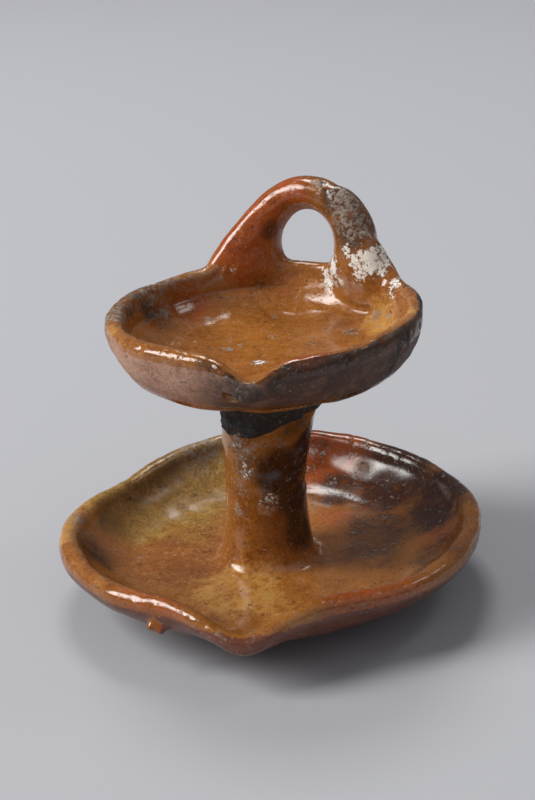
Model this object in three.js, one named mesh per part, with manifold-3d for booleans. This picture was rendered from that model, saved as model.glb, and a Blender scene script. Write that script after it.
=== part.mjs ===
// Earthenware oil lamp on two levels. A wide drip dish carries a waisted stem, the stem carries a smaller
// oil bowl, and a loop handle stands on the back of the bowl's rim. Each rim is pinched out into a spout.
// The dishes, stem and handle are joined as wet clay and fired together, so the whole lamp is one solid.
// Millimetres, +Z up. The origin is the middle of the flat foot, and the spouts point along -Y.

import * as THREE from "three";
import { mergeVertices } from "three/addons/utils/BufferGeometryUtils.js";
import Module from "manifold-3d";

// Driving dimensions. Radii are from the axis of the stem, and heights from the table.
const footRadius = 38;
const drip = {
  lipRadius: 72.5, // middle of the rounded lip
  lipHeight: 24,
  lipThickness: 7.6,
  floorHeight: 10.5,
  floorRadius: 50, // where the floor starts to rise into the wall
  floorRise: 0.8, // how much higher the floor is there
  underReach: 20, // the underside runs out this far from the foot before the wall lifts it
  underRise: 9.3,
  wallDrop: 8.5, // the wall stands upright from this far below the lip's middle
  innerLean: 1.2,
  innerDrop: 4,
  cornerReach: 9, // round corner between the inner wall and the floor
  cornerRise: 2.1,
};
const stem = {
  footHeight: 18,
  footRadius: 16.4,
  footSpread: 6, // clay smeared out round the foot
  footLean: 0.6,
  lowerSweep: 9, // how far the foot's curve climbs towards the waist
  waistHeight: 40,
  waistRadius: 14.6,
  waistLean: 0.2,
  upperSweep: 10,
  neckHeight: 60,
  neckRadius: 16.2,
};
const bowl = {
  lipRadius: 52.5,
  lipHeight: 105.3,
  lipThickness: 7,
  edgeRadius: 47, // sharp turn between the underside and the wall
  edgeHeight: 88.4,
  floorHeight: 90.5,
  floorRadius: 34.5,
  floorRise: 0.8,
  sideShift: 3, // the bowl sits a little to the right of the stem
  neckLean: 1, // the neck climbs nearly straight before it turns out under the bowl
  neckRise: 12,
  underReach: 3.8,
  underRise: 21.5,
  edgeInset: 1.5, // narrow flat beside the sharp turn
  edgeDrop: 0.8,
  wallReach: 3,
  wallRise: 2,
  wallDrop: 8,
  lipTurn: 1.12, // half turns of the lip, which leave a groove under its inner side
  innerDrop: 6,
  cornerReach: 9,
  cornerRise: 2.5,
};
const handle = {
  middleAngle: 77, // degrees round the bowl, from +X towards +Y
  middleRadius: 52.3,
  facingAngle: 71,
  bend: 52, // radius of the curve that the loop follows round the lip
  halfSpan: 22,
  rise: 30, // from the lip's middle to the middle of the roll at its top
  drop: 7, // how far the feet reach down the wall, from the lip's middle
  shoulder: 4, // how far the loop swells beyond a plain arch
  lean: 2.8, // how far the top leans to the right
  rollThickness: 12.4, // at the top of the loop, seen from the front
  rollDepth: 12.5,
  footThickness: 31,
  footDepth: 12.5,
};
// Clay wiped over the lip at the handle's feet: squashed balls, tipped towards the bowl and then turned.
const wipedClay = [
  { at: [38.6, 34.4, 106.5], half: [17, 10.5, 3.6], tip: 58, turn: -47 }, // under the right foot
  { at: [45.8, 27, 105], half: [14, 4.2, 4.6], tip: 0, turn: -60 }, // along the lip in front of it
  { at: [-13, 54.2, 103.2], half: [10, 4, 4.6], tip: 0, turn: 18 }, // under the left foot
];

// What the potter's fingers did to each rim. Angles and widths are in degrees round the dish, and the
// rim moves out and up by so many millimetres at that angle, fading away on both sides.
const dripPresses = [
  { angle: -91.5, width: 11, out: 6.6, up: -4 }, // spout
  { angle: -91, width: 5.5, out: 0.6, up: -1.6 }, // its narrow channel
  { angle: -116, width: 13, out: -2.5, up: 0.6 },
  { angle: -66, width: 16, out: -4, up: 0.8 },
  { angle: 4, width: 35, out: 2, up: 0 },
  { angle: 96, width: 27, out: 2.5, up: 1.8 },
  { angle: 149, width: 23, out: -4, up: -2.4 },
  { angle: 190, width: 14, out: 1, up: 0 },
];
const bowlPresses = [
  { angle: -90, width: 9.5, out: 4.5, up: -4.2 }, // spout
  { angle: -90, width: 5, out: 0.8, up: -1.6 }, // its narrow channel
  { angle: -119, width: 20, out: -1, up: 1 },
  { angle: -64, width: 20, out: 1, up: -0.6 },
  { angle: 146, width: 20, out: -0.8, up: -0.6 },
];

const roundSteps = 72;
const curveSteps = 4;
const handleSides = 16;
const lumpSides = 20;
const handleSteps = 32;
const spreadEnd = 0.9; // shares of the way from the handle's top to its end
const spreadPower = 4.1;
const roundStart = 0.84;
const degrees = Math.PI / 180;

// Half of the lamp's outline, from the middle of the foot round both dishes to the middle of the bowl.
function lampOutline() {
  const dripHalf = drip.lipThickness / 2;
  const bowlHalf = bowl.lipThickness / 2;
  const path = new THREE.Path();
  path.moveTo(0, 0);
  path.lineTo(footRadius, 0);
  // underside and wall of the drip dish
  path.bezierCurveTo(
    footRadius + drip.underReach, drip.underRise,
    drip.lipRadius + dripHalf, drip.lipHeight - drip.wallDrop,
    drip.lipRadius + dripHalf, drip.lipHeight,
  );
  path.absarc(drip.lipRadius, drip.lipHeight, dripHalf, 0, Math.PI);
  // inner wall, floor and the turn up into the stem
  path.bezierCurveTo(
    drip.lipRadius - dripHalf - drip.innerLean, drip.lipHeight - drip.innerDrop,
    drip.floorRadius + drip.cornerReach, drip.floorHeight + drip.cornerRise,
    drip.floorRadius, drip.floorHeight + drip.floorRise,
  );
  path.lineTo(stem.footRadius + stem.footSpread, drip.floorHeight);
  path.quadraticCurveTo(
    stem.footRadius + stem.footLean, drip.floorHeight,
    stem.footRadius, stem.footHeight,
  );
  // waisted stem
  path.quadraticCurveTo(
    stem.waistRadius + stem.waistLean, stem.footHeight + stem.lowerSweep,
    stem.waistRadius, stem.waistHeight,
  );
  path.quadraticCurveTo(
    stem.waistRadius, stem.waistHeight + stem.upperSweep,
    stem.neckRadius, stem.neckHeight,
  );
  // underside of the bowl
  path.bezierCurveTo(
    stem.neckRadius + bowl.neckLean, stem.neckHeight + bowl.neckRise,
    stem.neckRadius + bowl.underReach, stem.neckHeight + bowl.underRise,
    bowl.edgeRadius - bowl.edgeInset, bowl.edgeHeight - bowl.edgeDrop,
  );
  path.lineTo(bowl.edgeRadius, bowl.edgeHeight);
  // wall of the bowl
  path.bezierCurveTo(
    bowl.edgeRadius + bowl.wallReach, bowl.edgeHeight + bowl.wallRise,
    bowl.lipRadius + bowlHalf, bowl.lipHeight - bowl.wallDrop,
    bowl.lipRadius + bowlHalf, bowl.lipHeight,
  );
  path.absarc(bowl.lipRadius, bowl.lipHeight, bowlHalf, 0, Math.PI * bowl.lipTurn);
  // groove under the lip, inner wall and floor of the bowl
  path.bezierCurveTo(
    bowl.lipRadius - bowlHalf, bowl.lipHeight - bowl.innerDrop,
    bowl.floorRadius + bowl.cornerReach, bowl.floorHeight + bowl.cornerRise,
    bowl.floorRadius, bowl.floorHeight + bowl.floorRise,
  );
  path.lineTo(0, bowl.floorHeight);
  return path.getPoints(curveSteps);
}

// How far the presses move the rim at an angle, as millimetres out and up.
function pressedBy(presses, angle) {
  const moved = { out: 0, up: 0 };
  for (const press of presses) {
    const turn = THREE.MathUtils.euclideanModulo(angle - press.angle + 180, 360) - 180;
    const share = Math.exp(-((turn / press.width) ** 2));
    moved.out += press.out * share;
    moved.up += press.up * share;
  }
  return moved;
}

// Turns the outline about the stem, presses both rims and shifts the bowl onto its own middle.
function lampBody() {
  const body = new THREE.LatheGeometry(lampOutline(), roundSteps);
  body.rotateX(Math.PI / 2);
  const { smoothstep } = THREE.MathUtils;
  const position = body.getAttribute("position");
  for (let i = 0; i < position.count; i++) {
    const x = position.getX(i);
    const y = position.getY(i);
    const z = position.getZ(i);
    const radius = Math.hypot(x, y);
    const angle = Math.atan2(y, x);
    const inBowl = z > stem.neckHeight;
    const dish = inBowl ? bowl : drip;
    const grip = smoothstep(z, dish.floorHeight + 1, dish.lipHeight - 1) * (radius > dish.floorRadius);
    const moved = pressedBy(inBowl ? bowlPresses : dripPresses, angle / degrees);
    const pressedRadius = radius + moved.out * grip;
    const shift = bowl.sideShift * smoothstep(z, stem.waistHeight, bowl.edgeHeight);
    position.setXYZ(
      i,
      pressedRadius * Math.cos(angle) + shift,
      pressedRadius * Math.sin(angle),
      z + moved.up * grip,
    );
  }
  return body;
}

// The middle line of the loop, seen from the front, from the left foot over the top to the right foot.
function handleArch() {
  const archPull = (handle.rise + handle.drop / 4) / 0.75; // lifts the curve's middle to the rise
  const leanPull = handle.lean / 0.75;
  return new THREE.CubicBezierCurve(
    new THREE.Vector2(-handle.halfSpan, -handle.drop),
    new THREE.Vector2(leanPull - handle.halfSpan - handle.shoulder, archPull),
    new THREE.Vector2(leanPull + handle.halfSpan + handle.shoulder, archPull),
    new THREE.Vector2(handle.halfSpan, -handle.drop),
  );
}

// A cylinder bent along the arch and round the lip. It spreads towards both feet, which end rounded off.
function handleLoop() {
  const arch = handleArch();
  const { lerp } = THREE.MathUtils;
  const loop = new THREE.CylinderGeometry(1, 1, 1, handleSides, handleSteps);
  const position = loop.getAttribute("position");
  for (let i = 0; i < position.count; i++) {
    const along = position.getY(i) + 0.5;
    const fromTop = Math.min(Math.abs(2 * along - 1), 1);
    const spread = Math.min((fromTop / spreadEnd) ** spreadPower, 1);
    const closing = Math.max(fromTop - roundStart, 0) / (1 - roundStart);
    const round = Math.sqrt(1 - closing ** 2);
    const halfThickness = (round * lerp(handle.rollThickness, handle.footThickness, spread)) / 2;
    const halfDepth = (round * lerp(handle.rollDepth, handle.footDepth, spread)) / 2;
    const middle = arch.getPoint(along);
    const tangent = arch.getTangent(along);
    const wide = middle.x - tangent.y * position.getX(i) * halfThickness;
    position.setXYZ(
      i,
      wide,
      position.getZ(i) * halfDepth - wide ** 2 / (2 * handle.bend),
      middle.y + tangent.x * position.getX(i) * halfThickness,
    );
  }
  loop.rotateZ((handle.facingAngle - 90) * degrees);
  const turn = handle.middleAngle * degrees;
  loop.translate(
    bowl.sideShift + handle.middleRadius * Math.cos(turn),
    handle.middleRadius * Math.sin(turn),
    bowl.lipHeight,
  );
  return loop;
}

function wipedLump({ at, half, tip, turn }) {
  const lump = new THREE.SphereGeometry(1, lumpSides, lumpSides / 2);
  lump.scale(...half);
  lump.rotateX(tip * degrees);
  lump.rotateZ(turn * degrees);
  lump.translate(...at);
  return lump;
}

const wasm = await Module();
wasm.setup();

// A closed geometry as a solid that can be joined.
function solidOf(geometry) {
  const bare = new THREE.BufferGeometry();
  bare.setAttribute("position", geometry.getAttribute("position"));
  bare.setIndex(geometry.getIndex());
  const merged = mergeVertices(bare, 1e-3);
  return new wasm.Manifold(
    new wasm.Mesh({
      numProp: 3,
      vertProperties: merged.getAttribute("position").array,
      triVerts: new Uint32Array(merged.getIndex().array),
    }),
  );
}

// A joined solid back as a geometry.
function geometryOf(solid) {
  const mesh = solid.getMesh();
  const geometry = new THREE.BufferGeometry();
  geometry.setAttribute("position", new THREE.BufferAttribute(mesh.vertProperties, 3));
  geometry.setIndex(new THREE.BufferAttribute(mesh.triVerts, 1));
  geometry.computeVertexNormals();
  return geometry;
}

const glaze = new THREE.MeshStandardMaterial({ color: 0x9a5a24, roughness: 0.25, metalness: 0 });
const joined = [lampBody(), handleLoop(), ...wipedClay.map(wipedLump)];
const lampSolid = wasm.Manifold.union(joined.map(solidOf));
const lampMesh = new THREE.Mesh(geometryOf(lampSolid), glaze);
lampMesh.name = "oil_lamp";

const lamp = new THREE.Group();
lamp.add(lampMesh);

export default lamp;
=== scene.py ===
import math
import bpy
import numpy as np
from mathutils import Matrix, Vector
from mathutils.geometry import interpolate_bezier


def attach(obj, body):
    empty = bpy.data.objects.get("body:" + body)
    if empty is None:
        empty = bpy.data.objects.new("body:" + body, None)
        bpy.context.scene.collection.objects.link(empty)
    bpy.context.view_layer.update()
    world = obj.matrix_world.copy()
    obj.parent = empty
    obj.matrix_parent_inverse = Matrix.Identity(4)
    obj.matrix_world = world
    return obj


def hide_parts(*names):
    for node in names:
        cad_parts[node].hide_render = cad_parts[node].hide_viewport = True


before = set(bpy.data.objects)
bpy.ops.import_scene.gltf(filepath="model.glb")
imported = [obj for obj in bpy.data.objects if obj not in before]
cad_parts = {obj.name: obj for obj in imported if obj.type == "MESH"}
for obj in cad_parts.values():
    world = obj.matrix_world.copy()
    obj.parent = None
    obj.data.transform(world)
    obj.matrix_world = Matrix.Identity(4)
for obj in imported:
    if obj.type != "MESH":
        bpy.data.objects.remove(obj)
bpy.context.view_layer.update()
mm = 0.001  # sizes and places below are millimetres, in the CAD's own frame
print("frame loaded", sorted(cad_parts))

# the lamp's form: radii from the stem's axis, heights from the table
drip = {
    "footRadius": 38,
    "lipRadius": 72.5,
    "lipHeight": 24,
    "lipThickness": 7.6,
    "floorHeight": 10.5,
    "floorRadius": 50,
    "floorRise": 0.8,
    "underReach": 20,  # the pulls of each curve, from the points that it joins
    "underRise": 9.3,
    "wallDrop": 8.5,
    "innerLean": 1.2,
    "innerDrop": 4,
    "cornerReach": 9,
    "cornerRise": 2.1,
}
stem = {
    "footHeight": 18,
    "footRadius": 16.4,
    "waistHeight": 40,
    "waistRadius": 14.6,
    "neckHeight": 60,
    "neckRadius": 16.2,
    "footSpread": 6,
    "footLean": 0.6,
    "lowerSweep": 9,
    "waistLean": 0.2,
    "upperSweep": 10,
}
bowl = {
    "lipRadius": 52.5,
    "lipHeight": 105.3,
    "lipThickness": 7,
    "edgeRadius": 47,
    "edgeHeight": 88.4,
    "floorHeight": 90.5,
    "floorRadius": 34.5,
    "floorRise": 0.8,
    "neckLean": 1,
    "neckRise": 12,
    "underReach": 3.8,
    "underRise": 21.5,
    "edgeInset": 1.5,
    "edgeDrop": 0.8,
    "wallReach": 3,
    "wallRise": 2,
    "wallDrop": 8,
    "lipTurn": 1.12,  # half turns, so the lip rolls in a little
    "innerDrop": 6,
    "cornerReach": 9,
    "cornerRise": 2.5,
    "sideShift": 3,  # the bowl sits a little to the right of the stem
}
dripPresses = [  # where fingers moved the rim: degrees round it, width in degrees, mm out, mm up
    (-91.5, 11, 5.7, -3.6),  # spout
    (-91, 5.5, 0.6, -1.6),  # its narrow channel
    (-116, 13, -2.5, 0.6),
    (-66, 16, -4, 0.8),
    (4, 35, 2, 0),
    (96, 27, 2.5, 1.8),
    (149, 23, -4, -2.4),
    (190, 14, 1, 0),
]
bowlPresses = [
    (-90, 9.5, 4.5, -4.2),  # spout
    (-90, 5, 0.8, -1.6),  # its narrow channel
    (-119, 20, -1, 1),
    (-64, 20, 1, -0.6),
    (146, 20, -0.8, -0.6),
]
neckPress = {  # the neck was pinched on its left while wet
    "angle": 190,
    "width": 55,
    "depth": 2.6,
    "begins": (62, 72),  # heights over which the pinch fades in
    "ends": (80, 86),
    "within": 34,  # reaches no further out than this radius
}
wheel = {"turnSteps": 180, "curveSteps": 22, "arcSteps": 16}


def smooth(value, low, high):  # 0 below low, 1 above high
    share = np.clip((value - low) / (high - low), 0, 1)
    return share * share * (3 - 2 * share)


def readPoints(piece):
    flat = np.empty(len(piece.data.vertices) * 3)
    piece.data.vertices.foreach_get("co", flat)
    return flat.reshape(-1, 3) / mm


def readNormals(piece):
    flat = np.empty(len(piece.data.vertices) * 3)
    piece.data.vertex_normals.foreach_get("vector", flat)
    return flat.reshape(-1, 3)


def writePoints(piece, points):
    piece.data.vertices.foreach_set("co", (points * mm).ravel())
    piece.data.update()


def selectOnly(*pieces):
    bpy.ops.object.select_all(action="DESELECT")
    for piece in pieces:
        piece.select_set(True)
    bpy.context.view_layer.objects.active = pieces[0]


def applyModifier(piece, name, kind, **settings):
    selectOnly(piece)
    made = piece.modifiers.new(name, kind)
    for setting, value in settings.items():
        setattr(made, setting, value)
    bpy.ops.object.modifier_apply(modifier=made.name)


def lampOutline():  # half section, from the middle of the foot to the middle of the bowl
    points = [(0, 0), (drip["footRadius"], 0)]

    def curve(pullA, pullB, end):
        knots = [Vector((r, z, 0)) for r, z in (points[-1], pullA, pullB, end)]
        points.extend((p.x, p.y) for p in interpolate_bezier(*knots, wheel["curveSteps"])[1:])

    def bend(pull, end):  # one pull, for the plain sweeps of the stem
        start = points[-1]
        pullA = [s + (p - s) * 2 / 3 for s, p in zip(start, pull)]
        pullB = [e + (p - e) * 2 / 3 for e, p in zip(end, pull)]
        curve(pullA, pullB, end)

    def lip(radius, height, half, turns):
        for step in range(1, wheel["arcSteps"] + 1):
            turn = math.pi * turns * step / wheel["arcSteps"]
            points.append((radius + half * math.cos(turn), height + half * math.sin(turn)))

    dripOut = drip["lipRadius"] + drip["lipThickness"] / 2
    dripIn = drip["lipRadius"] - drip["lipThickness"] / 2
    bowlOut = bowl["lipRadius"] + bowl["lipThickness"] / 2
    bowlIn = bowl["lipRadius"] - bowl["lipThickness"] / 2
    curve(
        (drip["footRadius"] + drip["underReach"], drip["underRise"]),
        (dripOut, drip["lipHeight"] - drip["wallDrop"]),
        (dripOut, drip["lipHeight"]),
    )
    lip(drip["lipRadius"], drip["lipHeight"], drip["lipThickness"] / 2, 1)
    curve(
        (dripIn - drip["innerLean"], drip["lipHeight"] - drip["innerDrop"]),
        (drip["floorRadius"] + drip["cornerReach"], drip["floorHeight"] + drip["cornerRise"]),
        (drip["floorRadius"], drip["floorHeight"] + drip["floorRise"]),
    )
    points.append((stem["footRadius"] + stem["footSpread"], drip["floorHeight"]))
    bend(
        (stem["footRadius"] + stem["footLean"], drip["floorHeight"]),
        (stem["footRadius"], stem["footHeight"]),
    )
    bend(
        (stem["waistRadius"] + stem["waistLean"], stem["footHeight"] + stem["lowerSweep"]),
        (stem["waistRadius"], stem["waistHeight"]),
    )
    bend(
        (stem["waistRadius"], stem["waistHeight"] + stem["upperSweep"]),
        (stem["neckRadius"], stem["neckHeight"]),
    )
    curve(
        (stem["neckRadius"] + bowl["neckLean"], stem["neckHeight"] + bowl["neckRise"]),
        (stem["neckRadius"] + bowl["underReach"], stem["neckHeight"] + bowl["underRise"]),
        (bowl["edgeRadius"] - bowl["edgeInset"], bowl["edgeHeight"] - bowl["edgeDrop"]),
    )
    points.append((bowl["edgeRadius"], bowl["edgeHeight"]))
    curve(
        (bowl["edgeRadius"] + bowl["wallReach"], bowl["edgeHeight"] + bowl["wallRise"]),
        (bowlOut, bowl["lipHeight"] - bowl["wallDrop"]),
        (bowlOut, bowl["lipHeight"]),
    )
    lip(bowl["lipRadius"], bowl["lipHeight"], bowl["lipThickness"] / 2, bowl["lipTurn"])
    curve(
        (bowlIn, bowl["lipHeight"] - bowl["innerDrop"]),
        (bowl["floorRadius"] + bowl["cornerReach"], bowl["floorHeight"] + bowl["cornerRise"]),
        (bowl["floorRadius"], bowl["floorHeight"] + bowl["floorRise"]),
    )
    points.append((0, bowl["floorHeight"]))
    return points


def throwBody():  # one vertex drawn along the outline, then spun about the stem
    outline = lampOutline()
    bpy.ops.object.select_all(action="DESELECT")
    bpy.ops.mesh.primitive_plane_add(size=mm)
    body = bpy.context.object
    bpy.ops.object.mode_set(mode="EDIT")
    bpy.ops.mesh.merge(type="CENTER")
    for here, there in zip(outline, outline[1:]):
        step = ((there[0] - here[0]) * mm, 0, (there[1] - here[1]) * mm)
        bpy.ops.mesh.extrude_region_move(TRANSFORM_OT_translate={"value": step})
    bpy.ops.mesh.select_all(action="SELECT")
    bpy.ops.mesh.spin(steps=wheel["turnSteps"], angle=math.tau, center=(0, 0, 0), axis=(0, 0, 1))
    bpy.ops.mesh.select_all(action="SELECT")
    bpy.ops.mesh.remove_doubles(threshold=0.002 * mm)
    bpy.ops.mesh.normals_make_consistent(inside=False)
    bpy.ops.object.mode_set(mode="OBJECT")
    return body


def pressRims(body):
    points = readPoints(body)
    x, y, z = points.T
    radius = np.hypot(x, y)
    angle = np.degrees(np.arctan2(y, x))
    out, up = np.zeros_like(z), np.zeros_like(z)
    for dish, presses, here in (
        (drip, dripPresses, z <= stem["neckHeight"]),
        (bowl, bowlPresses, z > stem["neckHeight"]),
    ):
        grip = smooth(z, dish["floorHeight"] + 1, dish["lipHeight"] - 1)
        grip = grip * (radius > dish["floorRadius"]) * here
        for middle, width, pressOut, pressUp in presses:
            turn = (angle - middle + 180) % 360 - 180
            share = np.exp(-((turn / width) ** 2)) * grip
            out += pressOut * share
            up += pressUp * share
    neck = smooth(z, *neckPress["begins"]) * (1 - smooth(z, *neckPress["ends"]))
    neck = neck * (radius < neckPress["within"])
    turn = (angle - neckPress["angle"] + 180) % 360 - 180
    out -= neckPress["depth"] * neck * np.exp(-((turn / neckPress["width"]) ** 2))
    shift = bowl["sideShift"] * smooth(z, stem["waistHeight"], bowl["edgeHeight"])
    turn = np.radians(angle)
    reach = radius + out
    writePoints(body, np.stack([reach * np.cos(turn) + shift, reach * np.sin(turn), z + up], 1))


handle = {
    "middleAngle": 77,  # degrees round the bowl
    "middleRadius": 52.3,
    "facingAngle": 71,
    "bend": 52,  # radius of the curve that the loop follows round the lip
    "halfSpan": 22,
    "rise": 30,
    "drop": 7,  # how far the feet reach below the middle of the lip
    "shoulder": 4,
    "lean": 2.8,
    "rollThickness": 12.4,
    "rollDepth": 13.4,
    "footThickness": 31,
    "footDepth": 20,
    "spreadEnd": 0.9,  # share of each limb at which its foot is fully spread
    "spreadPower": 4.1,
    "tipStart": 0.84,  # where the end of a foot starts to round off
    "sides": 40,
    "steps": 95,
}


def bendHandle():  # a subdivided cylinder, bent along the arch and spread at both feet
    bpy.ops.object.select_all(action="DESELECT")
    bpy.ops.mesh.primitive_cylinder_add(vertices=handle["sides"], radius=mm, depth=mm)
    roll = bpy.context.object
    for edge in roll.data.edges:
        a, b = (roll.data.vertices[i].co.z for i in edge.vertices)
        edge.select = abs(a - b) > mm / 2
    for face in roll.data.polygons:
        face.select = False
    bpy.ops.object.mode_set(mode="EDIT")
    bpy.ops.mesh.select_mode(type="EDGE")
    bpy.ops.mesh.subdivide(number_cuts=handle["steps"])
    bpy.ops.object.mode_set(mode="OBJECT")
    across, deep, along = readPoints(roll).T
    along = along + 0.5
    fromTop = np.minimum(np.abs(2 * along - 1), 1)
    spread = np.minimum((fromTop / handle["spreadEnd"]) ** handle["spreadPower"], 1)
    closing = np.maximum(fromTop - handle["tipStart"], 0) / (1 - handle["tipStart"])
    rounding = np.sqrt(np.maximum(1 - closing**2, 0))
    thickness = handle["rollThickness"] * (1 - spread) + handle["footThickness"] * spread
    depth = handle["rollDepth"] * (1 - spread) + handle["footDepth"] * spread
    halfThickness = rounding * thickness / 2
    halfDepth = rounding * depth / 2
    pullShare = 0.75  # the arch's top lies at this share of its pulls
    archPull = (handle["rise"] + handle["drop"] / 4) / pullShare
    leanPull = handle["lean"] / pullShare
    reach = handle["halfSpan"] + handle["shoulder"]
    knots = np.array([
        (-handle["halfSpan"], -handle["drop"]),
        (leanPull - reach, archPull),
        (leanPull + reach, archPull),
        (handle["halfSpan"], -handle["drop"]),
    ])
    t = along[:, None]
    left = 1 - t
    middle = left**3 * knots[0] + 3 * left**2 * t * knots[1]
    middle += 3 * left * t**2 * knots[2] + t**3 * knots[3]
    sides = np.diff(knots, axis=0)
    run = left**2 * sides[0] + 2 * left * t * sides[1] + t**2 * sides[2]
    run /= np.linalg.norm(run, axis=1, keepdims=True)
    wide = middle[:, 0] - run[:, 1] * across * halfThickness
    high = middle[:, 1] + run[:, 0] * across * halfThickness
    thick = deep * halfDepth - wide**2 / (2 * handle["bend"])
    facing = math.radians(handle["facingAngle"] - 90)
    place = math.radians(handle["middleAngle"])
    x = wide * math.cos(facing) - thick * math.sin(facing)
    y = wide * math.sin(facing) + thick * math.cos(facing)
    x += bowl["sideShift"] + handle["middleRadius"] * math.cos(place)
    y += handle["middleRadius"] * math.sin(place)
    writePoints(roll, np.stack([x, y, high + bowl["lipHeight"]], 1))
    return roll


lumps = {  # place, half sizes, degrees tipped towards the bowl and turned
    "wipedFoot": {"at": (38.6, 34.4, 106.5), "half": (17, 10.5, 3.6), "tip": 58, "turn": -47},
    "wipedLip": {"at": (45.8, 27.0, 105.0), "half": (14, 4.2, 4.6), "tip": 0, "turn": -60},
    "rightFoot": {"at": (43.2, 32.6, 110.6), "half": (5.6, 5, 15), "tip": -24, "turn": 90},
    "rightArm": {"at": (33.6, 41.0, 127.0), "half": (5.8, 6.0, 14), "tip": -30, "turn": 71},
    "leftFoot": {"at": (-13.0, 54.2, 103.2), "half": (10, 4, 4.6), "tip": 0, "turn": 18},
    "crumb": {"at": (-33.6, -64.8, 18.4), "half": (2.9, 2.0, 1.5), "tip": 0, "turn": 30},
    "crumbSide": {"at": (-31.0, -65.6, 17.2), "half": (1.8, 1.9, 1.7), "tip": 25, "turn": 0},
}


def addLumps():
    made = []
    for lump in lumps.values():
        bpy.ops.object.select_all(action="DESELECT")
        bpy.ops.mesh.primitive_uv_sphere_add(
            segments=40,
            ring_count=20,
            radius=mm,
            location=[v * mm for v in lump["at"]],
            rotation=(math.radians(lump["tip"]), 0, math.radians(lump["turn"])),
            scale=lump["half"],
        )
        made.append(bpy.context.object)
    return made


clay = {
    "voxel": 1.08,  # mm, the cell size of the fused mesh; mm, keeps it under 200,000 triangles
    "settle": 8,  # rounds of smoothing after the pieces are fused
    "footBlend": 34,  # rounds that melt the handle's feet into the rim
}


seams = {  # where each seam is melted: fades in over the first two values, out over the last two
    "feetHeight": (92, 96, 112, 118),
    "feetAngle": (6, 18, 120, 132),
    "stemFootHeight": (7, 9, 17, 24),
    "stemFootRadius": (10, 13, 24, 31),
}


def band(value, begin, full, fade, end):
    return smooth(value, begin, full) * (1 - smooth(value, fade, end))


def meltSeam(body, name, share):  # smooths the clay most where share is 1
    group = body.vertex_groups.new(name=name)
    steps = np.round(share, 1)
    for step in np.unique(steps):
        group.add(np.flatnonzero(steps == step).tolist(), float(step), "REPLACE")
    applyModifier(body, name, "SMOOTH", factor=0.5, iterations=clay["footBlend"], vertex_group=name)
    body.vertex_groups.clear()


def fuseClay(body, parts):
    selectOnly(body, *parts)
    bpy.ops.object.join()
    body.name = "glazed_lamp"
    body.data.name = "glazed_lamp"
    applyModifier(body, "oneClay", "REMESH", mode="VOXEL", voxel_size=clay["voxel"] * mm)
    applyModifier(body, "settle", "SMOOTH", factor=0.5, iterations=clay["settle"])
    x, y, z = readPoints(body).T
    bowlAngle = np.degrees(np.arctan2(y, x - bowl["sideShift"]))
    nearFeet = band(z, *seams["feetHeight"]) * band(bowlAngle, *seams["feetAngle"])
    rightLimb = smooth(x, 14, 22) * smooth(y, 20, 26) * smooth(z, 108, 112)
    meltSeam(body, "handleFeet", np.maximum(nearFeet, rightLimb))
    x, y, z = readPoints(body).T
    nearStem = band(z, *seams["stemFootHeight"]) * band(np.hypot(x, y), *seams["stemFootRadius"])
    meltSeam(body, "stemFoot", nearStem)
    bpy.ops.object.shade_smooth()
    bpy.ops.object.transform_apply(location=True, rotation=True, scale=True)


lamp = throwBody()
pressRims(lamp)
print("body thrown and pressed", len(lamp.data.vertices))
fuseClay(lamp, [bendHandle(), *addLumps()])
print("handle and lumps fused", len(lamp.data.polygons))


def lumpy(points, size, seed):  # even random swell of about +-1, size is the width of one lump
    draw = np.random.default_rng(seed)
    total = np.zeros(len(points))
    waves = 28
    for wave in range(waves):
        way = draw.normal(size=3)
        way *= math.pi / size * draw.uniform(0.6, 1.5) / np.linalg.norm(way)
        total += np.sin(points @ way + draw.uniform(0, math.tau))
    return total / math.sqrt(waves / 2)


def dab(points, spots):  # strongest of some round spots: (x, y, z, size, strength)
    total = np.zeros(len(points))
    for x, y, z, size, strength in spots:
        far = np.linalg.norm(points - (x, y, z), axis=1) / size
        total = np.maximum(total, strength * (1 - smooth(far, 0.25, 1)))
    return total


def arc(angle, middle, half, soft):  # 1 within half of the middle angle, fading over soft degrees
    turn = np.abs((angle - middle + 180) % 360 - 180)
    return 1 - smooth(turn, half, half + soft)


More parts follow.
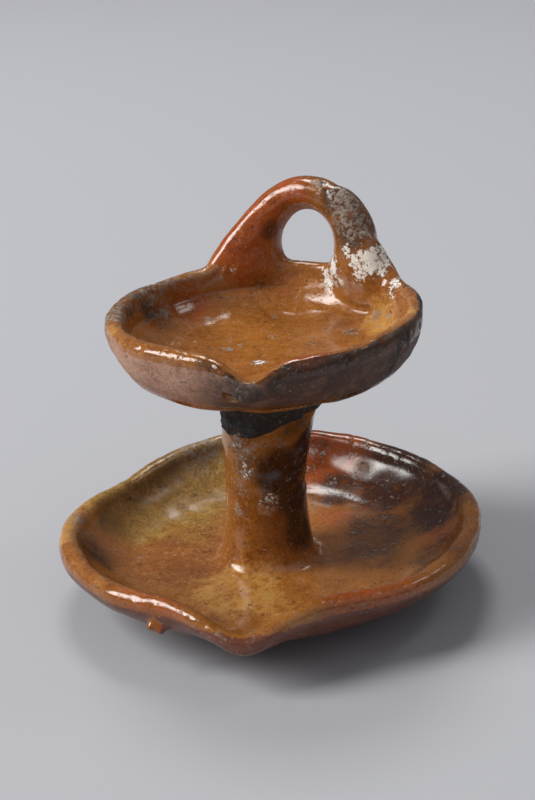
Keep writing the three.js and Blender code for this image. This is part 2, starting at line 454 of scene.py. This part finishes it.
class Surface:  # where each vertex lies on the lamp
    def __init__(self, piece):
        self.points = readPoints(piece)
        self.normals = readNormals(piece)
        x, y, self.z = self.points.T
        self.dripRadius = np.hypot(x, y)
        self.dripAngle = np.degrees(np.arctan2(y, x))
        self.bowlRadius = np.hypot(x - bowl["sideShift"], y)
        self.bowlAngle = np.degrees(np.arctan2(y, x - bowl["sideShift"]))
        nx, ny, self.up = self.normals.T
        self.bowlOut = (nx * (x - bowl["sideShift"]) + ny * y) / np.maximum(self.bowlRadius, 1)
        self.dripOut = (nx * x + ny * y) / np.maximum(self.dripRadius, 1)
        top = smooth(self.z, 84, 87)
        self.handle = smooth(self.z, 108.6, 110.5)
        self.bowlInside = smooth(self.z, 88.6, 89.6) * smooth(-self.bowlOut + self.up, 0.1, 0.5)
        self.bowlInside *= (1 - self.handle) * (1 - smooth(self.bowlRadius, 50.5, 53))
        self.bowlWall = top * (1 - self.handle)
        self.bowlWall *= smooth(self.bowlRadius, 43, 46) * smooth(self.bowlOut, 0.15, 0.5)
        self.bowlRim = smooth(self.z, 101, 104.5) * (1 - self.handle) * smooth(self.bowlRadius, 47, 49)
        low = 1 - smooth(self.z, 28, 34)
        self.dripInside = low * smooth(self.z, 9.6, 10.2) * smooth(self.up - self.dripOut, 0.1, 0.5)
        self.dripInside *= 1 - smooth(self.dripRadius, 70, 74)
        self.dripWall = low * smooth(self.dripRadius, 40, 46) * smooth(self.dripOut, 0.1, 0.45)
        self.dripRim = low * smooth(self.z, 21, 25) * smooth(self.dripRadius, 64, 67)
        self.stem = smooth(self.z, 17, 22) * (1 - smooth(self.z, 74, 78)) * (self.dripRadius < 30)
        lowEdge = 64.5 + 8 * smooth(self.dripAngle, -110, -30)
        self.collar = smooth(self.z, lowEdge - 0.8, lowEdge + 0.8) * (1 - smooth(self.z, 76, 79))
        self.collar *= arc(self.dripAngle, -122, 100, 24) * (self.dripRadius < 32)


relief = {  # mm along the surface
    "hand": 0.25,  # slow unevenness
    "finger": 0.09,  # shorter dents
    "bowlRings": 0.03,
    "bowlRidge": 0.1,
    "dripRings": 0.03,
    "wallRings": 0.07,
    "collar": 0.8,
    "stemCrust": 0.12,
    "rimGroove": 0.8,
    "edge": 0.45,
    "chips": 0.7,
    "crack": 0.5,
    "bowlSlope": 0.9,
}
pits = [  # small broken spots: place, size, depth
    (-2.9, 47.9, 100.8, 2.2, 1.1),
    (-1.2, 48.9, 105.2, 2.0, 0.7),
    (2.3, 15.9, 90.7, 1.5, 0.6),
    (5.2, 16.7, 90.7, 1.3, 0.6),
    (0.9, -3.0, 90.6, 1.4, 0.6),
]

cracks = [  # from, to, width
    ((22.0, 46.0, 141.4), (24.6, 37.6, 134.5), 0.9),
    ((51.0, -31.0, 105.0), (46.8, -29.6, 92.5), 0.8),
]


def crackMask(here):
    total = np.zeros(len(here.z))
    for start, end, width in cracks:
        start, way = np.array(start), np.subtract(end, start)
        along = np.clip((here.points - start) @ way / (way @ way), 0, 1)
        off = here.points - start - along[:, None] * way
        off += 0.5 * lumpy(here.points, 3, 11)[:, None] * np.array((0.6, 0.6, 0))
        deep = np.sum(off * here.normals, axis=1)
        aside = np.linalg.norm(off - deep[:, None] * here.normals, axis=1)
        total = np.maximum(total, (1 - smooth(aside, 0.2, width)) * (np.abs(deep) < 4))
    return total


def addRelief(piece):
    here = Surface(piece)
    stands = smooth(here.z, 0.3, 4)
    push = relief["hand"] * lumpy(here.points, 17, 3) * stands
    push += relief["finger"] * lumpy(here.points, 5.5, 4) * stands
    swirl = here.bowlAngle / 360
    rings = np.cos(math.tau * (here.bowlRadius / 6.4 + swirl)) * (1 - smooth(here.bowlRadius, 34, 38))
    push += relief["bowlRings"] * rings * here.bowlInside
    push += relief["bowlRidge"] * np.exp(-(((here.bowlRadius - 34.3) / 1.5) ** 2)) * here.bowlInside
    swirl = here.dripAngle / 360
    rings = np.cos(math.tau * (here.dripRadius / 6.8 - swirl)) * (1 - smooth(here.dripRadius, 44, 52))
    push += relief["dripRings"] * rings * here.dripInside
    push += relief["wallRings"] * np.cos(math.tau * here.z / 4.3) * (here.bowlWall + here.dripWall)
    crust = 0.75 + 0.45 * lumpy(here.points, 3.2, 5) + 0.3 * lumpy(here.points, 1.9, 12)
    push += relief["collar"] * here.collar * crust
    rough = here.stem * smooth(here.z, 26, 40) * (1 - here.collar)
    push += relief["stemCrust"] * rough * lumpy(here.points, 4.2, 6)
    groove = np.exp(-(((here.z - 99.8) / 1.0) ** 2)) * here.bowlInside * arc(here.bowlAngle, 152, 60, 22)
    push -= relief["rimGroove"] * groove
    edge = np.exp(-(((here.z - 88.6) / 0.9) ** 2)) * smooth(here.bowlRadius, 44, 46)
    push += relief["edge"] * edge * here.bowlWall
    bites = smooth(lumpy(here.points, 2.6, 7), 0.9, 1.6)
    push -= relief["chips"] * bites * (here.bowlRim + 0.4 * here.dripRim) * 0.6
    push -= relief["crack"] * crackMask(here)
    slope = np.exp(-(((here.z - 99.5) / 3) ** 2)) * here.bowlInside * arc(here.bowlAngle, 58, 22, 16)
    push += relief["bowlSlope"] * slope
    for x, y, z, size, depth in pits:
        push -= dab(here.points, [(x, y, z, size, depth)])
    writePoints(piece, here.points + here.normals * push[:, None])


paints = {  # round spots of each finish: x, y, z, size, strength
    "chalk": [
        (39.5, 32.5, 113.0, 11, 1.05),
        (37.0, 31.0, 107.5, 6, 0.7),
        (26.7, 38.7, 109.7, 7, 0.85),
        (32.9, 34.8, 117.4, 6, 0.85),
        (43.5, 29.5, 110.2, 6, 0.85),
        (24.0, 43.1, 103.9, 6.5, 0.8),
        (30.0, 36.5, 106.9, 6, 0.85),
        (44.0, 26.2, 102.2, 4, 0.6),
        (48.1, 19.3, 106.0, 4.5, 0.55),
        (0.9, -9.0, 90.6, 3.5, 0.55),
        (-24.2, 12.1, 91.2, 2.4, 0.5),
        (-13.1, 46.5, 107.6, 3, 0.4),
        (-6.0, 47.8, 107.0, 3, 0.45),
        (-7.3, -14.1, 60.0, 5, 0.4),
        (-6.2, -13.6, 51.8, 5, 0.4),
        (2.1, -14.4, 39.9, 5, 0.45),
        (35.0, 33.0, 104.0, 5, 0.5),
        (27.0, 39.0, 104.0, 5, 0.6),
        (48.0, 22.0, 108.0, 5, 0.55),
    ],
    "sootAndShade": [
        (-41.5, 17.6, 101.5, 8, 0.65),
        (-36.0, 29.0, 104.5, 7, 0.5),
        (3.2, -59.8, 98.4, 8, 0.6),
        (9.7, -58.6, 98.0, 8, 0.55),
        (48.0, -33.0, 99.0, 12, 0.4),
        (55.0, -12.0, 98.0, 12, 0.45),
    ],
    "ash": [
        (21.0, 43.6, 141.0, 6, 0.7),
        (30.8, 38.2, 133.0, 13, 0.62),
        (33.2, 35.7, 126.1, 12, 0.62),
        (36.5, 35.6, 118.7, 10, 0.6),
        (-51.5, -6.0, 107.0, 15, 0.8),
        (-13.1, 47.3, 107.6, 5, 0.6),
        (-6.0, 48.6, 107.0, 5, 0.6),
        (-7.3, -14.1, 60.0, 9, 0.75),
        (-6.2, -13.6, 51.8, 8, 0.7),
        (-9.0, -12.0, 44.0, 7, 0.6),
        (2.1, -14.4, 39.9, 6, 0.6),
        (-8.1, -12.3, 35.0, 5, 0.55),
        (-32.7, 62.8, 27.5, 18, 0.6),
        (-69.9, -3.6, 26.2, 12, 0.6),
        (-40.0, 24.0, 106.0, 16, 0.5),
        (-11.1, 5.0, 90.8, 3.6, 0.72),
        (-7.3, 10.1, 90.7, 3, 0.66),
        (18.7, 9.2, 90.9, 3.6, 0.7),
        (0.9, -9.0, 90.6, 5, 0.74),
        (32.3, 17.7, 91.3, 5, 0.72),
        (2.7, 34.7, 91.4, 3.5, 0.62),
        (41.8, 21.9, 96.1, 4.5, 0.72),
        (45.0, 17.0, 99.0, 4, 0.66),
        (-21.3, 31.4, 93.1, 2.8, 0.66),
        (4.0, 16.2, 90.7, 3.5, 0.6),
    ],
    "olive": [
        (-45.0, 42.8, 17.0, 42, 1.0),
        (-56.7, 29.0, 19.5, 36, 1.0),
        (-36.3, 56.9, 20.1, 36, 1.0),
        (-33.0, 20.0, 11.0, 26, 0.5),
    ],
    # smoke stains, and painted shade: dark spots in the bowl's shadow on the drip dish's right inside,
    # on inner walls and the stem's side facing away from the key light
    "smokeAndShade": [
        (-64.8, -12.4, 19.4, 18, 0.75),
        (-60.0, 12.0, 20.0, 14, 0.5),
        (-47.5, 51.0, 25.5, 15, 0.5),
        (46.0, 48.0, 20.0, 34, 1.0),
        (20.0, 68.0, 22.0, 24, 0.62),
        (63.0, 24.0, 20.0, 30, 0.95),
        (42.0, 20.0, 11.0, 28, 0.75),
        (24.0, 50.0, 12.0, 20, 0.85),
        (38.5, 0.0, 10.8, 26, 0.58),
        (62.0, -8.0, 18.0, 22, 0.68),
        (7.5, -13.0, 50.2, 16, 1.15),
        (11.3, -9.3, 37.3, 14, 1.0),
        (15.0, -4.0, 58.0, 16, 1.0),
        (14.0, -9.0, 26.0, 15, 0.95),
        (60.0, -24.0, 22.0, 22, 0.55),
        (-40.0, 20.0, 97.0, 13, 0.6),
        (29.0, 39.0, 135.0, 13, 0.85),
        (34.0, 36.0, 124.0, 14, 0.85),
        (-3.0, -15.0, 54.0, 9, 0.5),
        (12.0, -11.0, 68.0, 11, 0.7),
        # painted shade on the handle's left limb, darker towards the hole
        (4.0, 46.0, 121.0, 9, 0.7),
        (6.0, 46.5, 113.0, 8, 0.6),
    ],
    "ochre": [
        (-74.9, -10.4, 26.7, 20, 0.9),
        (-71.0, 8.0, 26.7, 14, 0.6),
        (-50.0, -18.0, 107.3, 10, 0.6),
        (51.5, -8.6, 107.3, 10, 0.8),
        (-10.0, -30.0, 10.8, 28, 0.8),
        (5.0, -44.0, 10.8, 20, 0.6),
        (44.0, 4.0, 97.0, 14, 0.8),
        (42.0, 17.0, 97.5, 15, 0.8),
    ],
    "red": [
        (-10.2, 52.6, 112.6, 22, 0.95),
        (-0.7, 48.4, 127.2, 18, 0.9),
        (10.0, 46.0, 137.0, 15, 0.8),
        (23.1, 30.0, 10.8, 15, 0.6),
        (18.3, 66.0, 21.3, 30, 0.9),
        (40.0, 46.0, 14.0, 22, 0.5),
        (62.4, 1.4, 16.3, 16, 0.6),
        (-36.0, -64.0, 23.0, 30, 0.55),
        (40.0, -60.0, 23.0, 34, 0.75),
        (22.2, -51.3, 107.8, 14, 0.85),
        (-30.0, 34.0, 98.0, 16, 0.7),
        (5.0, 48.0, 98.0, 14, 0.4),
    ],
    "glazeRun": [  # glaze that ran over the bare wall
        (-2.5, -54.5, 97.0, 7, 1.0),
        (-1.0, -56.0, 92.0, 6, 0.9),
        (-32.8, -64.8, 18.2, 5, 1.0),
    ],
}


def paintSurface(piece):
    here = Surface(piece)
    masks = {name: dab(here.points, spots) for name, spots in paints.items()}
    under = smooth(-here.up, 0.2, 0.6) * smooth(here.z, 76, 82)
    glazeEdge = 102.5 + 2.5 * arc(here.bowlAngle, -145, 40, 20)
    wall = here.bowlWall * (1 - smooth(here.z, glazeEdge - 1, glazeEdge + 1))
    glazeRun = masks.pop("glazeRun")
    edgeLine = here.bowlWall * (1 - smooth(here.z, 89.6, 91.4)) * arc(here.bowlAngle, -100, 75, 20)
    masks["bare"] = np.maximum(np.maximum(wall, under) - glazeRun - edgeLine, 0)
    masks["red"] = np.maximum(masks["red"], 0.7 * edgeLine)
    masks["slip"] = np.maximum(here.dripWall * (1 - smooth(here.z, 21, 25)) - glazeRun, 0)
    masks["crack"] = crackMask(here)
    rims = [
        masks["sootAndShade"],
        0.52 * here.bowlRim * arc(here.bowlAngle, 162, 18, 16),
        0.55 * here.bowlRim * smooth(here.bowlOut, -0.1, 0.6) * arc(here.bowlAngle, -18, 30, 12),
        # soot, which also paints shade: a light wash on the bowl's right outer wall, away from the key
        # light
        0.22 * here.bowlWall * arc(here.bowlAngle, -10, 40, 30),
    ]
    masks["sootAndShade"] = np.maximum.reduce(rims)
    masks["char"] = here.collar
    masks["ash"] = np.maximum(masks["ash"], 0.36 * here.bowlRim * arc(here.bowlAngle, 135, 42, 20))
    # smoke on the bowl's outer wall, which also paints shade on its right side, away from the key light
    masks["smokeAndShade"] = np.maximum(masks["smokeAndShade"], 0.85 * here.bowlWall * arc(here.bowlAngle, -40, 55, 25))
    masks["olive"] *= np.maximum(here.dripInside, here.dripRim)
    for name, mask in masks.items():
        layer = piece.data.attributes.new(name, "FLOAT", "POINT")
        layer.data.foreach_set("value", mask.astype(np.float32))


addRelief(lamp)
paintSurface(lamp)
print("relief pressed and finishes laid")


def srgb(red, green, blue):
    parts = [value / 255 for value in (red, green, blue)]
    linear = [p / 12.92 if p <= 0.04045 else ((p + 0.055) / 1.055) ** 2.4 for p in parts]
    return (*linear, 1)


class Wiring:  # short ways to lay and join shader nodes
    def __init__(self, material):
        self.tree = material.node_tree
        self.place = self.add("TexCoord").outputs["Object"]

    def add(self, kind, inputs=None, **settings):
        made = self.tree.nodes.new("ShaderNode" + kind)
        for name, value in settings.items():
            setattr(made, name, value)
        for name, value in (inputs or {}).items():
            if isinstance(value, bpy.types.NodeSocket):
                self.tree.links.new(value, made.inputs[name])
            else:
                made.inputs[name].default_value = value
        return made

    def noise(self, size, detail=4, rough=0.6, warp=0, at=None):
        inputs = {"Scale": 1 / (size * mm), "Detail": detail, "Roughness": rough, "Distortion": warp}
        return self.add("TexNoise", {"Vector": at or self.place, **inputs}).outputs["Fac"]

    def paint(self, name):
        return self.add("Attribute", attribute_name=name).outputs["Fac"]

    def calc(self, operation, first, second=0.0):
        return self.add("Math", {0: first, 1: second}, operation=operation).outputs[0]

    def scaled(self, value, weight, middle=0.5):  # how far a noise strays from its middle
        return self.calc("MULTIPLY", self.calc("SUBTRACT", value, middle), weight)

    def total(self, *values):
        result = values[0]
        for value in values[1:]:
            result = self.calc("ADD", result, value)
        return result

    def span(self, value, low, high, start=0.0, end=1.0):
        inputs = {"Value": value, "From Min": low, "From Max": high, "To Min": start, "To Max": end}
        return self.add("MapRange", inputs, interpolation_type="SMOOTHSTEP").outputs["Result"]

    def mix(self, factor, first, second):
        made = self.add("Mix", {0: factor, 6: first, 7: second}, data_type="RGBA")
        return made.outputs[2]

    def blend(self, factor, first, second):  # plain numbers
        made = self.add("Mix", {0: factor, 2: first, 3: second}, data_type="FLOAT")
        return made.outputs[0]


glazeColors = {
    "brown": srgb(122, 68, 26),
    "honey": srgb(178, 116, 52),
    "redDark": srgb(118, 50, 16),
    "redLight": srgb(182, 92, 36),
    "oliveDark": srgb(98, 68, 22),
    "oliveLight": srgb(186, 142, 62),
    "ochreDark": srgb(172, 112, 46),
    "ochreLight": srgb(210, 162, 88),
    "slipBrown": srgb(84, 46, 32),
    "slipRed": srgb(120, 66, 44),
    # colours of the smoke stains and of the painted shade
    "smokeAndShadeBrown": srgb(40, 19, 8),
    "smokeAndShadePurple": srgb(72, 37, 20),
    "bareRed": srgb(132, 84, 60),
    "barePink": srgb(200, 156, 130),
    "charBlack": srgb(9, 8, 6),
    "charGrey": srgb(40, 36, 31),
    # colours of the soot, also used for painted shade on the bowl's right wall
    "sootAndShadeBlack": srgb(28, 18, 11),
    "sootAndShadeGrey": srgb(96, 70, 48),
    "ashBrown": srgb(92, 72, 54),
    "ashGrey": srgb(152, 134, 118),
    "chalkGrey": srgb(212, 202, 190),
    "chalkWhite": srgb(252, 247, 238),
    "fleck": srgb(206, 172, 130),
    "pit": srgb(40, 24, 14),
}


def glazedClay():
    made = bpy.data.materials.new("glazed_clay")
    made.use_nodes = True
    wire = Wiring(made)
    color = glazeColors
    broad = wire.noise(26, 3, 0.55)
    cloud = wire.noise(9, 5, 0.62, 0.4)
    mottle = wire.noise(3.2, 5, 0.68)
    fine = wire.noise(1.3, 4, 0.7)
    grain = wire.noise(0.5, 3, 0.7)

    def patch(name, low, high, cloudShare=1.0, mottleShare=0.6, fineShare=0.4):
        edge = wire.total(
            wire.paint(name),
            wire.scaled(cloud, cloudShare),
            wire.scaled(mottle, mottleShare),
            wire.scaled(fine, fineShare),
        )
        return wire.span(edge, low, high)

    tone = wire.total(
        wire.scaled(broad, 0.9),
        wire.scaled(cloud, 0.7),
        wire.scaled(mottle, 0.7),
        wire.scaled(fine, 1.1),
        wire.scaled(grain, 0.9),
    )
    tone = wire.span(tone, -0.5, 0.5)

    def tint(first, second):
        return wire.mix(tone, color[first], color[second])

    look = tint("brown", "honey")
    olive = patch("olive", 0.2, 0.8, 0.8, 0.6, 0.6)
    look = wire.mix(olive, look, tint("oliveDark", "oliveLight"))
    look = wire.mix(patch("ochre", 0.25, 0.95), look, tint("ochreDark", "ochreLight"))
    look = wire.mix(patch("red", 0.2, 0.9), look, tint("redDark", "redLight"))
    slip = patch("slip", 0.3, 0.75)
    look = wire.mix(slip, look, tint("slipBrown", "slipRed"))
    bare = patch("bare", 0.35, 0.7, 0.6, 0.5, 0.3)
    look = wire.mix(bare, look, tint("bareRed", "barePink"))
    # smoke stains mixed with painted shade
    smokeAndShade = patch("smokeAndShade", 0.15, 1.0, 1.2, 1.0, 0.8)
    look = wire.mix(smokeAndShade, look, wire.mix(cloud, color["smokeAndShadeBrown"], color["smokeAndShadePurple"]))
    # soot, with a little painted shade on the bowl's right wall
    sootAndShade = patch("sootAndShade", 0.25, 0.75, 1.4, 1.6, 1.4)
    sootTone = wire.span(wire.total(mottle, wire.scaled(fine, 0.8)), 0.46, 0.78)
    look = wire.mix(sootAndShade, look, wire.mix(sootTone, color["sootAndShadeBlack"], color["sootAndShadeGrey"]))
    char = patch("char", 0.35, 0.65, 0.5, 0.6, 0.4)
    look = wire.mix(char, look, wire.mix(sootTone, color["charBlack"], color["charGrey"]))
    ash = patch("ash", 0.25, 0.95, 0.8, 1.8, 2.6)
    ashTone = wire.span(wire.total(mottle, wire.scaled(fine, 1.2)), 0.38, 0.66)
    look = wire.mix(ash, look, wire.mix(ashTone, color["ashBrown"], color["ashGrey"]))
    chalk = patch("chalk", 0.44, 0.62, 0.9, 1.8, 2.0)
    chalk = wire.calc("MULTIPLY", chalk, wire.span(wire.paint("chalk"), 0.05, 0.25))
    chalkTone = wire.span(wire.total(mottle, wire.scaled(fine, 1.2)), 0.34, 0.56)
    look = wire.mix(chalk, look, wire.mix(chalkTone, color["chalkGrey"], color["chalkWhite"]))
    specks = wire.span(wire.noise(1.1, 2, 0.5), 0.66, 0.74)
    plain = wire.calc("SUBTRACT", 0.45, wire.calc("MULTIPLY", wire.calc("MAXIMUM", sootAndShade, smokeAndShade), 0.4))
    look = wire.mix(wire.calc("MULTIPLY", specks, plain), look, color["fleck"])
    holes = wire.span(wire.noise(1.7, 2, 0.5), 0.34, 0.27)
    look = wire.mix(wire.calc("MULTIPLY", holes, 0.6), look, color["pit"])
    look = wire.mix(wire.span(wire.paint("crack"), 0.3, 0.8), look, color["pit"])

    burnt = wire.calc("MAXIMUM", sootAndShade, char)
    pale = wire.calc("MAXIMUM", chalk, wire.calc("MULTIPLY", ash, 0.8))
    crust = wire.calc("MAXIMUM", burnt, pale)
    matte = wire.calc("MAXIMUM", wire.calc("MULTIPLY", bare, 0.8), crust)
    gloss = wire.span(wire.total(cloud, wire.scaled(mottle, 0.7)), 0.3, 0.7, 0.05, 0.11)
    gloss = wire.blend(olive, gloss, 0.27)
    gloss = wire.blend(slip, gloss, 0.3)
    gloss = wire.blend(smokeAndShade, gloss, 0.16)
    rough = wire.blend(matte, gloss, 0.72)
    height = wire.total(
        wire.calc("MULTIPLY", wire.scaled(mottle, 0.25), wire.blend(matte, 0.2, 2.2)),
        wire.calc("MULTIPLY", wire.scaled(fine, 0.16), wire.blend(matte, 0.25, 3.2)),
        wire.calc("MULTIPLY", wire.scaled(grain, 0.07), wire.blend(matte, 0.4, 2.6)),
        wire.calc("MULTIPLY", chalk, 0.12),
        wire.calc("MULTIPLY", holes, -0.25),
    )
    bump = wire.add("Bump", {"Height": height, "Distance": mm, "Strength": 1.0})
    shader = made.node_tree.nodes["Principled BSDF"]
    shader.inputs["IOR"].default_value = 1.6
    links = made.node_tree.links
    links.new(look, shader.inputs["Base Color"])
    links.new(rough, shader.inputs["Roughness"])
    links.new(bump.outputs["Normal"], shader.inputs["Normal"])
    return made


lamp.data.materials.clear()
lamp.data.materials.append(glazedClay())
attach(lamp, "root")
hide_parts("oil_lamp")

floorLook = {"size": 8, "color": srgb(184, 186, 192)}


def layFloor():
    bpy.ops.object.select_all(action="DESELECT")
    bpy.ops.mesh.primitive_plane_add(size=floorLook["size"])
    floor = bpy.context.object
    floor.name = "pale_floor"
    made = bpy.data.materials.new("pale_floor")
    made.use_nodes = True
    shader = made.node_tree.nodes["Principled BSDF"]
    shader.inputs["Base Color"].default_value = floorLook["color"]
    shader.inputs["Roughness"].default_value = 0.9
    shader.inputs["Specular IOR Level"].default_value = 0.1
    floor.data.materials.append(made)


softboxes = {  # degrees round the lamp from the picture's right, degrees up, metres away
    "key": {  # large, from the picture's left
        "round": 186,
        "up": 39,
        "away": 4.0,
        "wide": 1.6,
        "tall": 2.5,
        "power": 158,
        "color": (1, 0.98, 0.95),
    },
    "back": {  # lights the lips from behind
        "round": 95,
        "up": 60,
        "away": 3.0,
        "wide": 0.9,
        "tall": 0.9,
        "power": 28,
        "color": (1, 0.98, 0.96),
    },
    "right": {  # a small spark on the right
        "round": 15,
        "up": 50,
        "away": 1.4,
        "wide": 0.28,
        "tall": 0.28,
        "power": 1.0,
        "color": (1, 0.98, 0.96),
    },
    "front": {  # broad and weak, fills the front
        "round": 300,
        "up": 45,
        "away": 3.5,
        "wide": 5.0,
        "tall": 4.0,
        "power": 15,
        "color": (1, 0.98, 0.96),
    },
}
studio = {
    "turn": 6,  # the camera stands this far round from the spouts
    "aim": (0, 0, 60),
    "room": (0.55, 0.56, 0.6),
    "roomStrength": 0.24,
}


def hangLights():
    aim = Vector(studio["aim"]) * mm
    for name, spec in softboxes.items():
        turn = math.radians(spec["round"] + studio["turn"])
        up = math.radians(spec["up"])
        way = Vector((math.cos(turn) * math.cos(up), math.sin(turn) * math.cos(up), math.sin(up)))
        bpy.ops.object.light_add(type="AREA", location=aim + way * spec["away"])
        light = bpy.context.object
        light.name = name + "_softbox"
        light.rotation_euler = way.to_track_quat("Z", "Y").to_euler()
        light.data.shape = "RECTANGLE"
        light.data.size = spec["wide"]
        light.data.size_y = spec["tall"]
        light.data.energy = spec["power"]
        light.data.color = spec["color"]
    world = bpy.data.worlds.new("studio_room")
    bpy.context.scene.world = world
    world.use_nodes = True
    background = world.node_tree.nodes["Background"]
    background.inputs["Color"].default_value = (*studio["room"], 1)
    background.inputs["Strength"].default_value = studio["roomStrength"]


lens = {
    "focal": 72,  # mm on a 36 mm tall sensor
    "sensor": 36,
    "aim": (2.3, 0, 72.66),
    "away": 572.2,
    "up": 22.19,  # degrees
    "roll": -3.27,
}


def placeCamera():
    up = math.radians(lens["up"])
    roll = math.radians(lens["roll"])
    back = Vector((0, -math.cos(up), math.sin(up)))
    right = Vector((1, 0, 0))
    top = Vector((0, math.sin(up), math.cos(up)))
    rolledRight = right * math.cos(roll) + top * math.sin(roll)
    rolledTop = top * math.cos(roll) - right * math.sin(roll)
    place = (Vector(lens["aim"]) + back * lens["away"]) * mm
    axes = Matrix((rolledRight, rolledTop, back)).transposed().to_4x4()
    bpy.ops.object.camera_add()
    camera = bpy.context.object
    camera.name = "photo_camera"
    camera.data.sensor_fit = "VERTICAL"
    camera.data.sensor_height = lens["sensor"]
    camera.data.lens = lens["focal"]
    camera.data.clip_start = 0.01
    spun = Matrix.Rotation(math.radians(studio["turn"]), 4, "Z")
    camera.matrix_world = spun @ Matrix.Translation(place) @ axes
    bpy.context.scene.camera = camera


layFloor()
hangLights()
placeCamera()
bpy.context.scene.view_settings.view_transform = "Standard"
print("floor, lights and camera placed")
